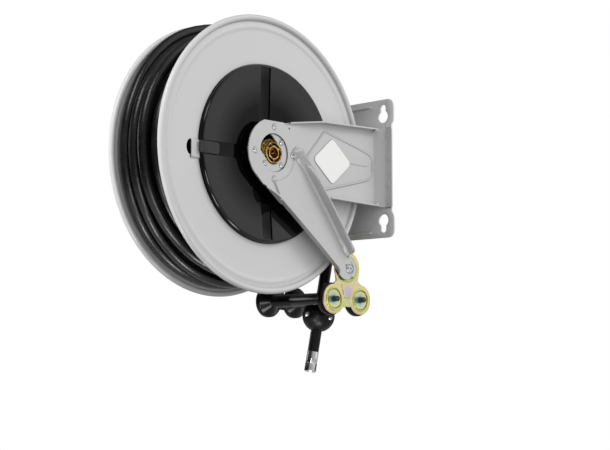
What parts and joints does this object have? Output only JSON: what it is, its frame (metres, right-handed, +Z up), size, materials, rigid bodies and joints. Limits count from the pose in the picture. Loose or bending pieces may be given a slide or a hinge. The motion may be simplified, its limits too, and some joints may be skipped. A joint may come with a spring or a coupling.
{
  "type": "hose reel",
  "caption": "Open wall-mounted spring-rewind hose reel with pressed side arms, a swivel inlet, a roller hose outlet and a stop ball on the hose end.",
  "frame": {"origin": "on the wall, at the centre of the four keyholes", "axes": "+X along the drum axle towards the inlet, +Y into the wall, +Z up"},
  "size_m": [0.221, 0.495, 0.5874],
  "materials": {
    "sheet_grey": "light grey powder coat, semi-gloss",
    "bracket_grey": "light grey powder coat, semi-gloss",
    "black_gloss": "black, high gloss",
    "black_plastic": "black moulded plastic",
    "black_rubber": "black hose cover",
    "zinc_yellow": "yellow passivated zinc",
    "zinc_bright": "bright zinc",
    "chrome_bright": "polished plating",
    "brass": "turned brass",
    "steel_dark": "dark hardened steel",
    "black_steel": "black coated steel",
    "bush_tan": "acetal bush",
    "label_white": "blank white film"
  },
  "bodies": {
    "bracket": {"wall_plate": "bracket_grey", "front_side_arm": "bracket_grey", "rear_side_arm": "bracket_grey", "arm_rivets": "bracket_grey", "guide_arm": "sheet_grey", "guide_arm_screws": "zinc_bright", "swivel_body": "brass", "swivel_screws": "zinc_bright", "main_axle": "zinc_bright", "axle_washer": "zinc_bright", "axle_nut": "zinc_bright", "spring_arbor": "steel_dark", "roller_bracket": "zinc_yellow", "roller_spacer": "zinc_bright", "roller_bracket_screw": "zinc_bright", "roller_pins": "black_steel", "roller_end_plate": "zinc_yellow", "roller_clips": "zinc_bright", "blank_label": "label_white", "pawl_pivot": "zinc_bright", "pawl_spring": "steel_dark", "hose_tail": "black_rubber", "hose_stop_front": "black_plastic", "hose_stop_back": "black_plastic", "hose_stop_screws": "zinc_bright", "hose_ferrule": "chrome_bright", "hose_end_socket": "chrome_bright"},
    "drum": {"front_flange": "sheet_grey", "rear_flange": "sheet_grey", "drum_core": "steel_dark", "spring_case_back": "black_steel", "spring_case_cover": "black_gloss", "cover_clip": "black_plastic", "clip_rivets": "black_steel", "power_spring": "steel_dark", "case_bush": "bush_tan", "rear_hub": "steel_dark", "rear_bush": "bush_tan", "rear_hub_screws": "zinc_bright", "ratchet_ring": "steel_dark", "swivel_rotor": "brass", "rotor_seals": "black_rubber", "delivery_pipe": "zinc_bright", "outlet_elbow": "brass", "hose_winding": "black_rubber"},
    "outer_roller": {"outer_roller": "black_plastic"},
    "inner_roller": {"inner_roller": "black_plastic"},
    "pawl": {"ratchet_pawl": "steel_dark"}
  },
  "joints": [
    {"name": "drum_spin", "type": "hinge", "parent": "bracket", "child": "drum", "pos_m": [0, -0.265, 0], "axis": [1, 0, 0], "continuous": true},
    {"name": "outer_roller_spin", "type": "hinge", "parent": "bracket", "child": "outer_roller", "pos_m": [0, -0.121, -0.233], "axis": [1, 0, 0], "continuous": true},
    {"name": "inner_roller_spin", "type": "hinge", "parent": "bracket", "child": "inner_roller", "pos_m": [0, -0.055, -0.233], "axis": [1, 0, 0], "continuous": true},
    {"name": "pawl_swing", "type": "hinge", "parent": "bracket", "child": "pawl", "pos_m": [0, -0.161, 0], "axis": [1, 0, 0], "range_deg": [0, 17], "stiffness_Nm_per_rad": 0.02, "deforming": ["pawl_spring"]}
  ]
}
